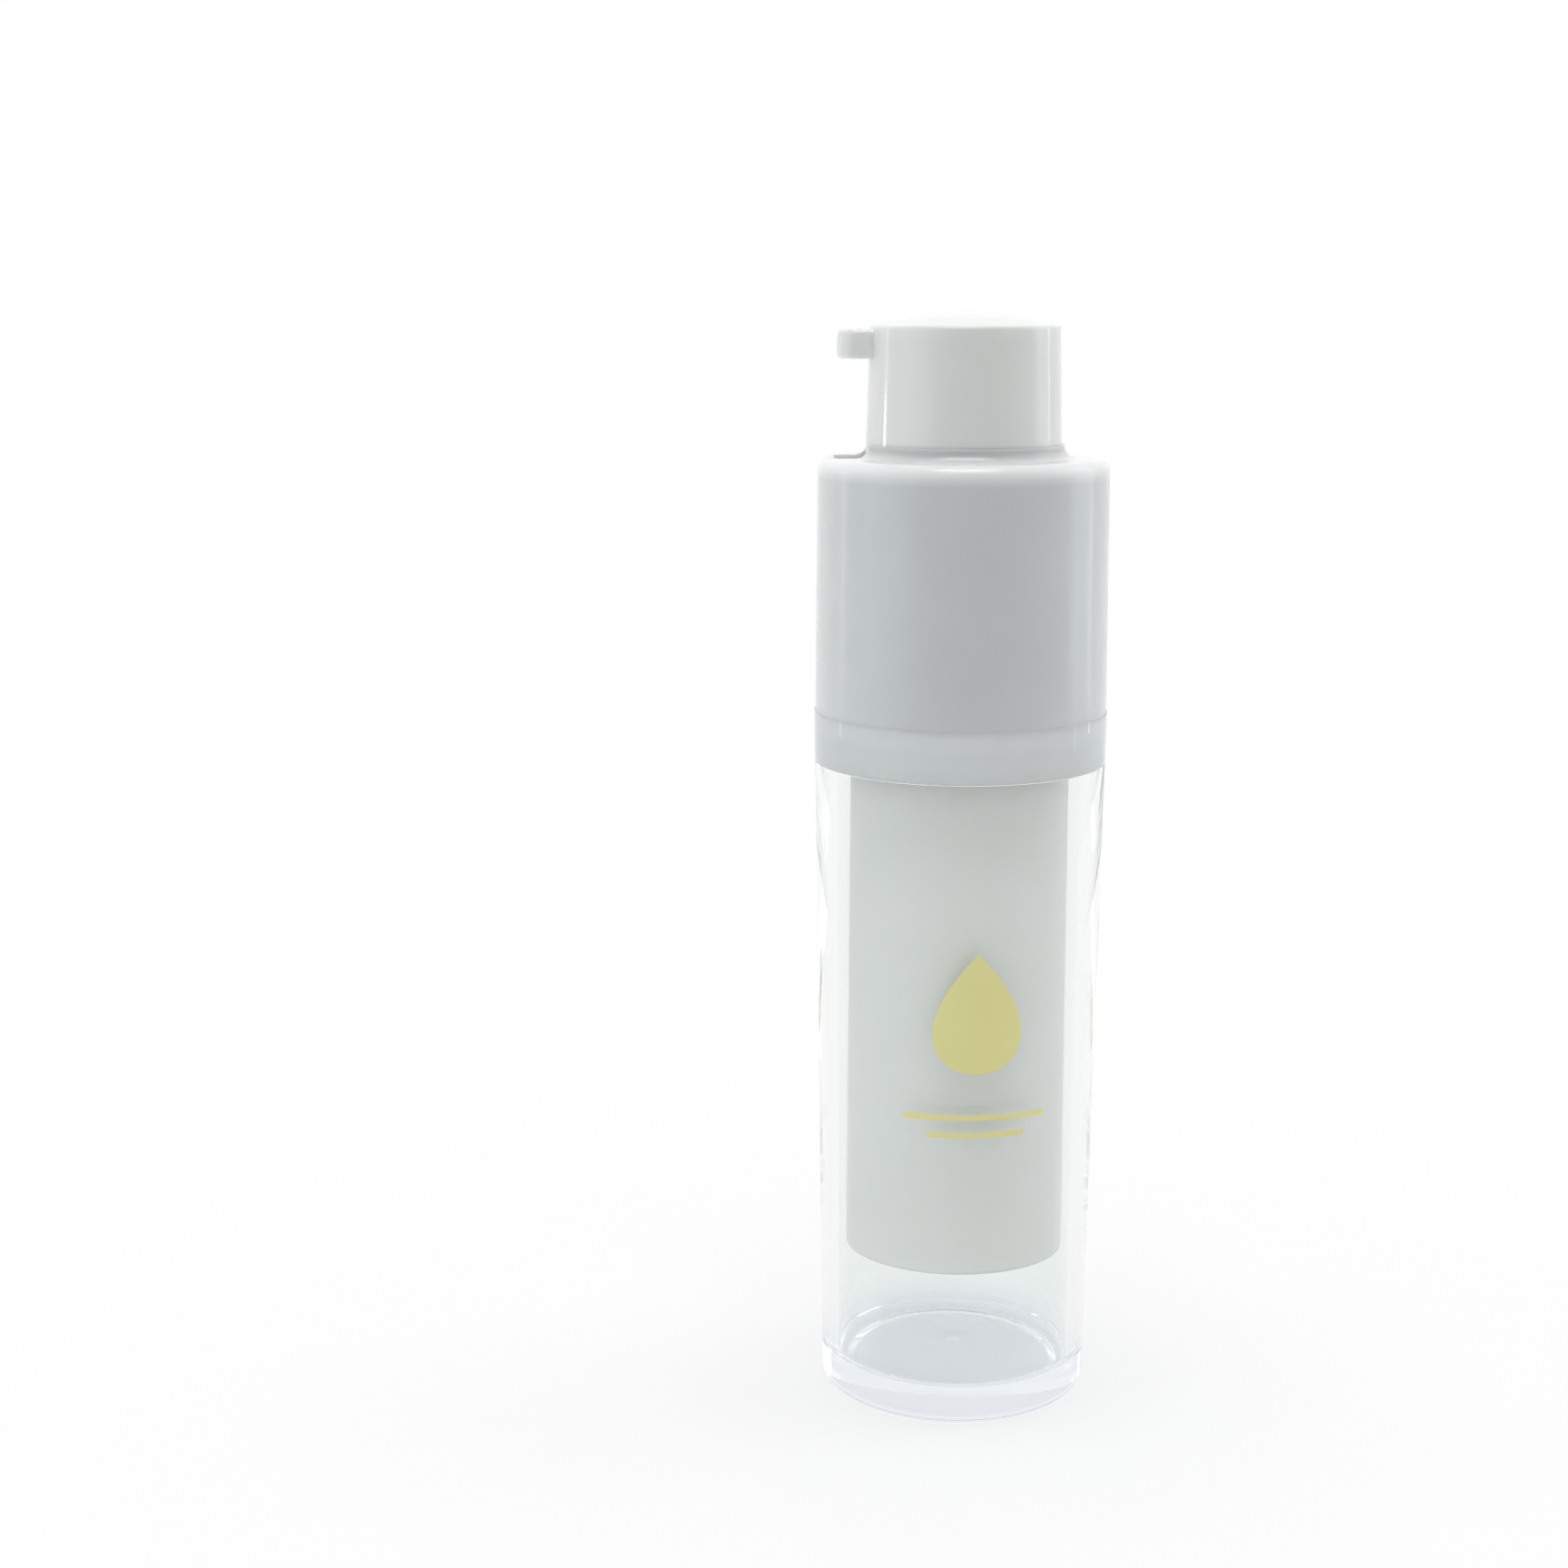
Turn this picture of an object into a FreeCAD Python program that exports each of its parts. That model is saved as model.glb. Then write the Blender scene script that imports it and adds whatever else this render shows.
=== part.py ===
import FreeCAD, Part
import math
import os
from types import SimpleNamespace

import Sketcher

# Airless pump bottle with a twist-up head, in millimetres.
# The origin is the centre of the base, +Z is up and the spout points to -X.
# The head is raised: the collar turns clockwise to lower it.

doc = FreeCAD.newDocument("airless_pump_bottle")
sheet = doc.addObject("Spreadsheet::Sheet", "Sizes")

SIZES = {
    # Outer bottle
    "bottle_height": 87.5,
    "rim_radius": 18.05,
    "base_taper": 1.27,
    "base_round": 2.0,
    "floor_thickness": 4.6,
    "floor_round": 1.3,
    "bore_ease": 0.1,
    "bore_taper": 0.6,
    "lip_depth": 6.4,
    "lip_wall": 0.45,
    "rest_width": 2.38,
    "base_recess_depth": 0.4,
    "gate_mark_radius": 0.8,
    "gate_mark_depth": 0.2,
    # Turning collar and its skirt
    "turn_gap": 0.1,
    "skirt_gap": 0.12,
    "collar_step": 0.1,
    "collar_taper": 0.25,
    "collar_wall": 1.6,
    "collar_round": 1.5,
    "roof_thickness": 1.6,
    "skirt_wall": 1.78,
    "skirt_roof": 1.2,
    "spout_pit_gap": 0.745,
    "mouth_gap": 0.1,
    "mouth_lip_height": 1.6,
    "mouth_lip_wall": 0.25,
    "mouth_lip_round": 1.5,
    # Twist-up movement
    "twist_angle": 120,
    "lift_travel": 14.0,
    "lug_over_rim": 5.5,
    "park_gap": 0.5,
    "slide_gap": 0.3,
    "slot_gap": 0.15,
    # Cam sleeve
    "cam_gap": 0.2,
    "cam_skirt_gap": 0.4,
    "cam_wall": 1.2,
    "cam_top_wall": 1.3,
    "slot_end_angle": 7,
    "foot_thickness": 1.0,
    "foot_width": 0.9,
    "bead_height": 0.65,
    "bead_width": 0.8,
    "bead_level": 3.5,
    "bead_gap": 0.15,
    # Guide sleeve
    "guide_wall": 1.1,
    "guide_flange": 1.5,
    "guide_foot_gap": 0.8,
    # Lift ring
    "lift_ring_wall": 2.55,
    "lift_plate": 1.6,
    "lift_skirt_gap": 2.5,
    "lift_rim": 2.2,
    "lug_radius": 1.4,
    "lug_rise": 0.2,
    "lug_tip_gap": 0.3,
    "spring_boss_gap": 0.6,
    "spring_boss_height": 1.2,
    # Inner bottle
    "inner_gap": 0.24,
    "inner_flare": 0.24,
    "inner_wall": 1.17,
    "inner_round": 0.5,
    "shoulder_round": 0.6,
    "ring_gap": 0.38,
    "shoulder_ring": 2.0,
    "neck_wall": 1.5,
    "neck_length": 10.0,
    "shoulder_fall": 4.0,
    "neck_fit": 0.05,
    # Base plug and follower piston
    "plug_inset": 0.6,
    "plug_rim_height": 1.6,
    "plug_rim_width": 1.1,
    "plug_plate": 1.2,
    "vent_radius": 0.8,
    "follower_height": 12.0,
    "follower_wall": 1.2,
    "follower_lip": 0.55,
    "follower_lip_height": 1.0,
    "follower_seat": 0.3,
    "follower_fit": 0.06,
    "well_gap": 0.9,
    "well_depth": 9.0,
    # Pump
    "gasket_thickness": 0.8,
    "flange_thickness": 1.4,
    "chamber_radius": 4.0,
    "housing_wall": 1.2,
    "spigot_length": 3.0,
    "spigot_gap": 0.1,
    "inlet_radius": 0.9,
    "inlet_wall": 1.3,
    "inlet_cone_height": 3.2,
    "inlet_length": 4.3,
    "ball_radius": 1.6,
    "ball_lift": 0.8,
    "ball_clearance": 0.8,
    "ball_seat_gap": 0.05,
    "cage_thickness": 1.0,
    "cage_port_radius": 0.7,
    "cage_port_circle": 2.6,
    "cage_port_count": 4,
    "stem_radius": 2.5,
    "stem_step": 0.5,
    "stem_bore": 1.2,
    "stem_port_width": 0.9,
    "stem_guide_length": 6.3,
    "stem_guide_flange": 1.0,
    "stem_guide_overlap": 1.2,
    "stem_guide_gap": 0.1,
    "piston_height": 5.8,
    "piston_hub_wall": 0.85,
    "piston_lip_wall": 0.6,
    "piston_web": 1.0,
    "piston_lip_inset": 0.7,
    "piston_lag": 0.8,
    "piston_fit": 0.05,
    "piston_rest_gap": 0.1,
    "plug_head_radius": 3.0,
    "plug_head_height": 1.6,
    "plug_shank_length": 3.3,
    "press_travel": 4.5,
    "press_gap": 1.4,
    "press_fit": 0.02,
    # Head
    "head_gap": 0.8,
    "head_taper": 0.5,
    "head_engage": 1.9,
    "head_stand": 1.7,
    "head_wall": 1.2,
    "head_roof": 0.9,
    "head_dome": 1.4,
    "head_round": 0.4,
    "spout_length": 3.4,
    "spout_width": 6.5,
    "spout_height": 3.5,
    "spout_drop": 0.42,
    "spout_tip_round": 2.2,
    "spout_edge_round": 0.6,
    "spout_gap": 0.35,
    "nozzle_radius": 1.0,
    "nozzle_bore": 0.6,
    "nozzle_drop": 2.1,
    "nozzle_inset": 0.2,
    "nozzle_seat": 1.5,
    "hub_radius": 4.0,
    "hub_disc": 1.2,
    "hub_disc_drop": 4.0,
    "hub_gap": 0.1,
    "hub_depth": 10.68,
    "socket_depth": 6.2,
    "spring_seat": 1.2,
    # Return spring
    "wire_diameter": 0.8,
    "spring_radius": 5.1,
    "spring_turns": 7,
    "spring_gap": 0.05,
}

for row, (alias, value) in enumerate(SIZES.items(), start=1):
    sheet.set(f"A{row}", alias)
    sheet.set(f"B{row}", str(value))
    sheet.setAlias(f"B{row}", alias)
doc.recompute()


class Length:
    """A size worked out from cells of the sheet, kept as the text of an expression."""

    def __init__(self, text):
        self.text = text

    def __add__(self, other):
        return Length(f"({self.text} + {text_of(other)})")

    def __sub__(self, other):
        return Length(f"({self.text} - {text_of(other)})")

    def __mul__(self, other):
        return Length(f"({self.text} * {text_of(other)})")

    def __rmul__(self, other):
        return self * other

    def __truediv__(self, other):
        return Length(f"({self.text} / {text_of(other)})")

    def __neg__(self):
        return Length(f"(-1 * {self.text})")


def text_of(size):
    return size.text if isinstance(size, Length) else str(size)


def root_of(size):
    return Length(f"sqrt({size.text})")


def number(size):
    """The value of a size at this moment."""
    return float(sheet.evalExpression(text_of(size)))


size = SimpleNamespace(**{alias: Length(f"Sizes.{alias}") for alias in SIZES})

# Radii, from the outside inwards
base_radius = size.rim_radius - size.base_taper
lip_bore = size.rim_radius - size.lip_wall
skirt_outer = lip_bore - size.skirt_gap
skirt_inner = skirt_outer - size.skirt_wall
collar_foot_radius = size.rim_radius - size.collar_step
collar_top_radius = collar_foot_radius - size.collar_taper
collar_bore = collar_foot_radius - size.collar_wall
cam_outer = skirt_inner - size.cam_skirt_gap
cam_bore = cam_outer - size.cam_wall
bore_radius = cam_outer + size.bore_ease
cam_foot_radius = cam_outer + size.foot_width
lug_tip = cam_outer - size.lug_tip_gap
guide_outer = cam_bore - size.cam_gap
guide_bore = guide_outer - size.guide_wall
inner_foot_radius = cam_bore - size.inner_gap
inner_radius = inner_foot_radius - size.inner_flare
inner_bore = inner_radius - size.inner_wall
ring_radius = guide_bore - size.ring_gap
lift_outer = guide_bore - size.slide_gap
lift_bore = lift_outer - size.lift_ring_wall
neck_radius = lift_bore - size.neck_fit
neck_bore = neck_radius - size.neck_wall
head_radius = guide_bore - size.head_gap
spout_reach = head_radius + size.spout_length
spout_slot_reach = spout_reach + size.spout_gap
spout_slot_half = size.spout_width / 2 + size.spout_gap
slot_radius = size.lug_radius + size.slot_gap

# The lead of the cam turns the twist into the lift
lead_per_turn = size.lift_travel * 360 / size.twist_angle
slot_end_rise = lead_per_turn * size.slot_end_angle / 360
slot_slope = lead_per_turn / (cam_bore * (2 * math.pi))
slot_half_height = slot_radius * root_of(slot_slope * slot_slope + 1)

# Levels of the bottle, the movement and the collar, with the head raised
rim_z = size.bottle_height
ledge_z = rim_z - size.lip_depth
lug_z = rim_z + size.lug_over_rim + size.lift_travel
cam_top_z = lug_z + slot_end_rise + slot_half_height + size.cam_top_wall
spout_pit_z = cam_top_z + size.cam_gap
lowest_spout_top_z = spout_pit_z + size.spout_pit_gap + size.spout_height
collar_foot_z = rim_z + size.turn_gap
lowered_rim_z = lowest_spout_top_z + size.press_travel + size.spout_drop
collar_top_z = lowered_rim_z - size.head_stand
mouth_lip_z = collar_top_z + size.mouth_lip_height
roof_under_z = collar_top_z - size.roof_thickness

# Levels of the inner bottle and the pump, from the lift ring downwards
lift_plate_z = lug_z - size.lug_rise
pump_top_z = lift_plate_z - size.lift_plate
flange_z = pump_top_z - size.flange_thickness
neck_top_z = flange_z - size.gasket_thickness
ring_top_z = neck_top_z - size.neck_length
shoulder_z = ring_top_z - size.shoulder_ring
inner_foot_z = size.floor_thickness + size.park_gap + size.lift_travel
plug_z = inner_foot_z + size.plug_inset
follower_z = plug_z + size.plug_rim_height + size.follower_seat

guide_end_z = pump_top_z - size.stem_guide_length
piston_top_z = guide_end_z - size.piston_lag - size.piston_rest_gap
piston_foot_z = piston_top_z - size.piston_height
stem_foot_z = piston_foot_z - size.piston_fit
plug_foot_z = stem_foot_z - size.plug_head_height
cage_top_z = plug_foot_z - size.press_travel - size.press_gap
cage_foot_z = cage_top_z - size.cage_thickness
ball_z = cage_foot_z - size.ball_lift - size.ball_radius
seat_foot_z = ball_z - (size.ball_radius + size.ball_seat_gap) * math.sqrt(2) + size.inlet_radius
seat_top_z = seat_foot_z + size.ball_radius + size.ball_clearance - size.inlet_radius
inlet_foot_z = seat_foot_z - size.inlet_cone_height - size.inlet_length + size.inlet_wall

# Levels of the head
head_rim_z = lowered_rim_z + size.lift_travel
head_foot_z = roof_under_z - size.head_engage
head_roof_z = head_rim_z - size.head_roof
spout_top_z = head_rim_z - size.spout_drop
spout_foot_z = spout_top_z - size.spout_height
nozzle_z = spout_top_z - size.nozzle_drop
hub_foot_z = nozzle_z - size.hub_depth
socket_top_z = hub_foot_z + size.socket_depth
spring_length = hub_foot_z - lift_plate_z

parts = []


def head_radius_at(level):
    """The outside radius of the tapered head at a level."""
    return head_radius - size.head_taper * (level - head_foot_z) / (head_rim_z - head_foot_z)


def new_body(label):
    body = doc.addObject("PartDesign::Body", label)
    body.Label = label
    parts.append(body)
    return body


def new_sketch(body, name, plane, level=None):
    """A sketch on one of the body's own planes, moved along its normal by a level."""
    sketch = body.newObject("Sketcher::SketchObject", f"{body.Name}_{name}")
    support = next(item for item in body.Origin.OriginFeatures if item.Role == plane)
    sketch.AttachmentSupport = [(support, "")]
    sketch.MapMode = "FlatFace"
    if level is not None:
        sketch.setExpression("AttachmentOffset.Base.z", text_of(level))
    return sketch


def bind_point(sketch, edge, end, place):
    """Fix a point of an edge at a place given by sizes, or on the upright (-2) or level (-1) axis."""
    for kind, axis, distance in zip(("DistanceX", "DistanceY"), (-2, -1), place):
        if isinstance(distance, Length):
            bound = Sketcher.Constraint(kind, -1, 1, edge, end, number(distance))
            index = sketch.addConstraint(bound)
            sketch.setExpression(f"Constraints[{index}]", distance.text)
        else:
            sketch.addConstraint(Sketcher.Constraint("PointOnObject", edge, end, axis))


def add_outline(sketch, corners, dome=None):
    """A closed outline; the edge that starts at the corner numbered dome is an arc round the axis."""
    places = [FreeCAD.Vector(number(x), number(y), 0) for x, y in corners]
    count = len(corners)
    for index, start in enumerate(places):
        end = places[(index + 1) % count]
        if index == dome:
            middle = (end.y**2 - start.y**2 - start.x**2) / (2 * (end.y - start.y))
            circle = Part.Circle(FreeCAD.Vector(0, middle, 0), FreeCAD.Vector(0, 0, 1), end.y - middle)
            start_angle = math.atan2(start.y - middle, start.x)
            sketch.addGeometry(Part.ArcOfCircle(circle, start_angle, math.pi / 2))
        else:
            sketch.addGeometry(Part.LineSegment(start, end))
    for index in range(count):
        sketch.addConstraint(Sketcher.Constraint("Coincident", index, 2, (index + 1) % count, 1))
    if dome is not None:
        sketch.addConstraint(Sketcher.Constraint("PointOnObject", dome, 3, -2))
    for index, corner in enumerate(corners):
        bind_point(sketch, index, 1, corner)


def add_circle(sketch, centre, radius):
    middle = FreeCAD.Vector(number(centre[0]), number(centre[1]), 0)
    circle = sketch.addGeometry(Part.Circle(middle, FreeCAD.Vector(0, 0, 1), number(radius)))
    index = sketch.addConstraint(Sketcher.Constraint("Radius", circle, number(radius)))
    sketch.setExpression(f"Constraints[{index}]", radius.text)
    bind_point(sketch, circle, 3, centre)


def turn(body, name, corners, dome=None, kind="Revolution"):
    """A turned feature from an outline of (radius, height) corners."""
    sketch = new_sketch(body, name, "XZ_Plane")
    add_outline(sketch, corners, dome)
    feature = body.newObject(f"PartDesign::{kind}", f"{body.Name}_{name}_{kind}")
    feature.Profile = sketch
    feature.ReferenceAxis = (sketch, ["V_Axis"])
    feature.Angle = 360
    doc.recompute()
    return feature


def push(body, kind, sketch, length=None, symmetric=False, reversed_way=False):
    """A pad or a pocket from a sketch; with no length a pocket goes through all."""
    feature = body.newObject(f"PartDesign::{kind}", f"{sketch.Name}_{kind}")
    feature.Profile = sketch
    feature.Reversed = reversed_way
    if symmetric:
        feature.SideType = "Symmetric"
    if length is None:
        feature.Type = "ThroughAll"
    else:
        feature.setExpression("Length", text_of(length))
    before = 0.0 if feature.BaseFeature is None else feature.BaseFeature.Shape.Volume
    doc.recompute()
    if abs(feature.Shape.Volume - before) < 1e-6:
        raise RuntimeError(f"{feature.Name} changes nothing")
    return feature


def round_edges(body, name, radius, wanted):
    """Round the edges of the body that the wanted test picks."""
    base = body.Tip
    edges = [f"Edge{index}" for index, edge in enumerate(base.Shape.Edges, start=1) if wanted(edge)]
    if not edges:
        raise RuntimeError(f"{body.Label} has no edge for {name}")
    feature = body.newObject("PartDesign::Fillet", f"{body.Name}_{name}")
    feature.Base = (base, edges)
    feature.setExpression("Radius", radius.text)
    doc.recompute()
    if feature.Shape.isNull():
        raise RuntimeError(f"{feature.Name} failed")
    return feature


def ring_at(radius, level):
    """A test for the circular edge at a radius and a level."""

    def wanted(edge):
        if edge.Degenerated or not isinstance(edge.Curve, Part.Circle):
            return False
        offset = abs(edge.Curve.Radius - number(radius)) + abs(edge.Curve.Center.z - number(level))
        return offset < 1e-4 and abs(edge.Curve.Axis.z) > 0.999

    return wanted


def pattern_round(body, feature, count, total=360):
    """Repeat a feature round the upright axis."""
    pattern = body.newObject("PartDesign::PolarPattern", f"{feature.Name}_pattern")
    pattern.Originals = [feature]
    axis = next(item for item in body.Origin.OriginFeatures if item.Role == "Z_Axis")
    pattern.Axis = (axis, [""])
    pattern.Angle = total
    if isinstance(count, Length):
        pattern.setExpression("Occurrences", count.text)
    else:
        pattern.Occurrences = count
    body.Tip = pattern
    doc.recompute()


def make_outer_bottle():
    body = new_body("outer_bottle")
    recess_radius = base_radius - size.base_round - size.rest_width
    turn(body, "wall", [
        (recess_radius, 0),
        (base_radius, 0),
        (size.rim_radius, rim_z),
        (lip_bore, rim_z),
        (lip_bore, ledge_z),
        (bore_radius, ledge_z),
        (bore_radius - size.bore_taper, size.floor_thickness),
        (0, size.floor_thickness),
        (0, size.base_recess_depth),
        (recess_radius, size.base_recess_depth),
    ])
    round_edges(body, "base_edge", size.base_round, ring_at(base_radius, 0))
    floor_corner = ring_at(bore_radius - size.bore_taper, size.floor_thickness)
    round_edges(body, "floor_edge", size.floor_round, floor_corner)
    mark = new_sketch(body, "gate_mark", "XY_Plane", size.floor_thickness)
    add_circle(mark, (0, 0), size.gate_mark_radius)
    push(body, "Pocket", mark, size.gate_mark_depth)


def make_cam_sleeve():
    body = new_body("cam_sleeve")
    bead_radius = cam_outer + size.bead_height
    bead_z = ledge_z + size.bead_level
    turn(body, "wall", [
        (cam_bore, ledge_z),
        (cam_foot_radius, ledge_z),
        (cam_foot_radius, ledge_z + size.foot_thickness),
        (cam_outer, ledge_z + size.foot_thickness),
        (cam_outer, bead_z),
        (bead_radius, bead_z),
        (cam_outer, bead_z + size.bead_width),
        (cam_outer, cam_top_z),
        (cam_bore, cam_top_z),
    ])
    slot_foot_z = lug_z - size.lift_travel - slot_end_rise
    profile = new_sketch(body, "slot", "XZ_Plane")
    add_outline(profile, [
        (guide_bore, slot_foot_z - slot_half_height),
        (skirt_outer, slot_foot_z - slot_half_height),
        (skirt_outer, slot_foot_z + slot_half_height),
        (guide_bore, slot_foot_z + slot_half_height),
    ])
    slot = body.newObject("PartDesign::SubtractiveHelix", "cam_sleeve_slot_helix")
    slot.Profile = profile
    slot.ReferenceAxis = (profile, ["V_Axis"])
    slot.Mode = "pitch-height-angle"
    slot.setExpression("Pitch", lead_per_turn.text)
    slot.setExpression("Height", (size.lift_travel + slot_end_rise * 2).text)
    doc.recompute()
    pattern_round(body, slot, 2)
    body.Placement = FreeCAD.Placement(FreeCAD.Vector(), FreeCAD.Rotation(FreeCAD.Vector(0, 0, 1), 0))
    body.setExpression("Placement.Rotation.Angle", "90 - Sizes.twist_angle - Sizes.slot_end_angle")


def make_collar():
    body = new_body("collar")
    groove_radius = cam_outer + size.bead_height + size.bead_gap
    groove_z = ledge_z + size.bead_level - size.bead_gap
    groove_top_z = ledge_z + size.bead_level + size.bead_width + size.bead_gap
    skirt_foot_z = ledge_z + size.turn_gap
    rebate_radius = cam_foot_radius + size.cam_gap
    rebate_z = skirt_foot_z + size.foot_thickness
    mouth_bore = head_radius_at(mouth_lip_z) + size.mouth_gap
    roof_bore = head_radius_at(roof_under_z) + size.mouth_gap
    lip_outer = mouth_bore + size.mouth_lip_wall
    turn(body, "wall", [
        (rebate_radius, skirt_foot_z),
        (skirt_outer, skirt_foot_z),
        (skirt_outer, collar_foot_z),
        (collar_foot_radius, collar_foot_z),
        (collar_top_radius, collar_top_z),
        (lip_outer, collar_top_z),
        (lip_outer, mouth_lip_z),
        (mouth_bore, mouth_lip_z),
        (roof_bore, roof_under_z),
        (collar_bore, roof_under_z),
        (collar_bore, collar_foot_z + size.skirt_roof),
        (skirt_inner, collar_foot_z + size.skirt_roof),
        (skirt_inner, groove_top_z),
        (groove_radius, groove_top_z),
        (groove_radius, groove_z),
        (skirt_inner, groove_z),
        (skirt_inner, rebate_z),
        (rebate_radius, rebate_z),
    ])
    round_edges(body, "top_edge", size.collar_round, ring_at(collar_top_radius, collar_top_z))
    round_edges(body, "lip_root", size.mouth_lip_round, ring_at(lip_outer, collar_top_z))
    slot = new_sketch(body, "spout_slot", "XY_Plane", roof_under_z)
    add_outline(slot, [
        (-spout_slot_reach, -spout_slot_half),
        (0, -spout_slot_half),
        (0, spout_slot_half),
        (-spout_slot_reach, spout_slot_half),
    ])
    push(body, "Pocket", slot, size.roof_thickness + size.mouth_lip_height, reversed_way=True)


def make_guide_sleeve():
    body = new_body("guide_sleeve")
    guide_foot_z = shoulder_z + size.guide_foot_gap
    flange_radius = collar_bore - size.cam_gap
    turn(body, "wall", [
        (guide_bore, guide_foot_z),
        (guide_outer, guide_foot_z),
        (guide_outer, roof_under_z - size.guide_flange),
        (flange_radius, roof_under_z - size.guide_flange),
        (flange_radius, roof_under_z),
        (guide_bore, roof_under_z),
    ])
    slot = new_sketch(body, "lug_slot", "XZ_Plane")
    add_outline(slot, [
        (-slot_radius, guide_foot_z - size.guide_foot_gap),
        (slot_radius, guide_foot_z - size.guide_foot_gap),
        (slot_radius, lug_z + slot_radius),
        (-slot_radius, lug_z + slot_radius),
    ])
    push(body, "Pocket", slot, cam_outer * 2, symmetric=True)
    pit = new_sketch(body, "spout_pit", "XY_Plane", spout_pit_z)
    add_outline(pit, [
        (-collar_bore, -spout_slot_half),
        (0, -spout_slot_half),
        (0, spout_slot_half),
        (-collar_bore, spout_slot_half),
    ])
    push(body, "Pocket", pit, roof_under_z - spout_pit_z, reversed_way=True)


def make_inner_bottle():
    body = new_body("inner_bottle")
    turn(body, "wall", [
        (inner_bore, inner_foot_z),
        (inner_foot_radius, inner_foot_z),
        (inner_radius, shoulder_z),
        (ring_radius, shoulder_z),
        (ring_radius, ring_top_z),
        (neck_radius, ring_top_z),
        (neck_radius, neck_top_z),
        (neck_bore, neck_top_z),
        (neck_bore, ring_top_z - size.neck_wall),
        (inner_bore, ring_top_z - size.neck_wall - size.shoulder_fall),
    ])
    round_edges(body, "foot_edge", size.inner_round, ring_at(inner_foot_radius, inner_foot_z))
    round_edges(body, "shoulder_edge", size.shoulder_round, ring_at(inner_radius, shoulder_z))
    round_edges(body, "ring_edge", size.shoulder_round, ring_at(ring_radius, ring_top_z))


def make_base_plug():
    body = new_body("base_plug")
    outer = inner_bore - size.press_fit
    rim_bore = outer - size.plug_rim_width
    rim_top_z = plug_z + size.plug_rim_height
    plate_z = rim_top_z - size.plug_plate
    turn(body, "disc", [
        (size.vent_radius, plate_z),
        (rim_bore, plate_z),
        (rim_bore, plug_z),
        (outer, plug_z),
        (outer, rim_top_z),
        (size.vent_radius, rim_top_z),
    ])


def make_follower_piston():
    body = new_body("follower_piston")
    lip_radius = inner_bore - size.follower_fit
    body_radius = lip_radius - size.follower_lip
    skirt_bore = body_radius - size.follower_wall
    well_radius = size.chamber_radius + size.housing_wall + size.well_gap
    well_outer = well_radius + size.follower_wall
    top_z = follower_z + size.follower_height
    well_floor_z = top_z - size.well_depth
    turn(body, "cup", [
        (0, well_floor_z - size.follower_wall),
        (well_outer, well_floor_z - size.follower_wall),
        (well_outer, top_z - size.follower_wall),
        (skirt_bore, top_z - size.follower_wall),
        (skirt_bore, follower_z),
        (lip_radius, follower_z),
        (lip_radius, follower_z + size.follower_lip_height),
        (body_radius, follower_z + size.follower_lip_height + size.follower_lip),
        (body_radius, top_z - size.follower_lip_height - size.follower_lip),
        (lip_radius, top_z - size.follower_lip_height),
        (lip_radius, top_z),
        (well_radius, top_z),
        (well_radius, well_floor_z),
        (0, well_floor_z),
    ])


def make_lift_ring():
    body = new_body("lift_ring")
    rod = new_sketch(body, "lugs", "XZ_Plane")
    add_circle(rod, (0, lug_z), size.lug_radius)
    push(body, "Pad", rod, lug_tip * 2, symmetric=True)
    skirt_z = ring_top_z + size.lift_skirt_gap
    rim_z_top = lift_plate_z + size.lift_rim
    turn(body, "ring", [
        (lift_bore, skirt_z),
        (lift_outer, skirt_z),
        (lift_outer, rim_z_top),
        (0, rim_z_top),
        (0, pump_top_z),
        (lift_bore, pump_top_z),
    ])
    boss_bore = size.stem_radius + size.slide_gap
    boss_radius = size.spring_radius - size.wire_diameter / 2 - size.spring_boss_gap
    boss_top_z = lift_plate_z + size.spring_boss_height
    turn(body, "spring_seat", [
        (boss_radius, lift_plate_z),
        (lift_bore, lift_plate_z),
        (lift_bore, rim_z_top),
        (0, rim_z_top),
        (0, boss_top_z),
        (boss_radius, boss_top_z),
    ], kind="Groove")
    bore = new_sketch(body, "stem_bore", "XY_Plane", pump_top_z)
    add_circle(bore, (0, 0), boss_bore)
    push(body, "Pocket", bore, size.lift_plate + size.lift_rim, reversed_way=True)


def make_housing_gasket():
    body = new_body("housing_gasket")
    turn(body, "ring", [
        (neck_bore, neck_top_z),
        (neck_radius, neck_top_z),
        (neck_radius, flange_z),
        (neck_bore, flange_z),
    ])


def make_pump_housing():
    body = new_body("pump_housing")
    outer = size.chamber_radius + size.housing_wall
    inlet_outer = size.inlet_radius + size.inlet_wall
    guide_recess = size.chamber_radius + size.stem_guide_overlap
    guide_seat_z = pump_top_z - size.stem_guide_flange
    ball_bore = size.ball_radius + size.ball_clearance
    turn(body, "barrel", [
        (size.inlet_radius, inlet_foot_z),
        (inlet_outer, inlet_foot_z),
        (inlet_outer, inlet_foot_z + size.inlet_length),
        (outer, inlet_foot_z + size.inlet_length + size.inlet_cone_height),
        (outer, flange_z - size.spigot_length),
        (neck_bore - size.spigot_gap, flange_z - size.spigot_length),
        (neck_bore - size.spigot_gap, flange_z),
        (neck_radius, flange_z),
        (neck_radius, pump_top_z),
        (guide_recess, pump_top_z),
        (guide_recess, guide_seat_z),
        (size.chamber_radius, guide_seat_z),
        (size.chamber_radius, cage_foot_z),
        (ball_bore, cage_foot_z),
        (ball_bore, seat_top_z),
        (size.inlet_radius, seat_foot_z),
    ])


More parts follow.
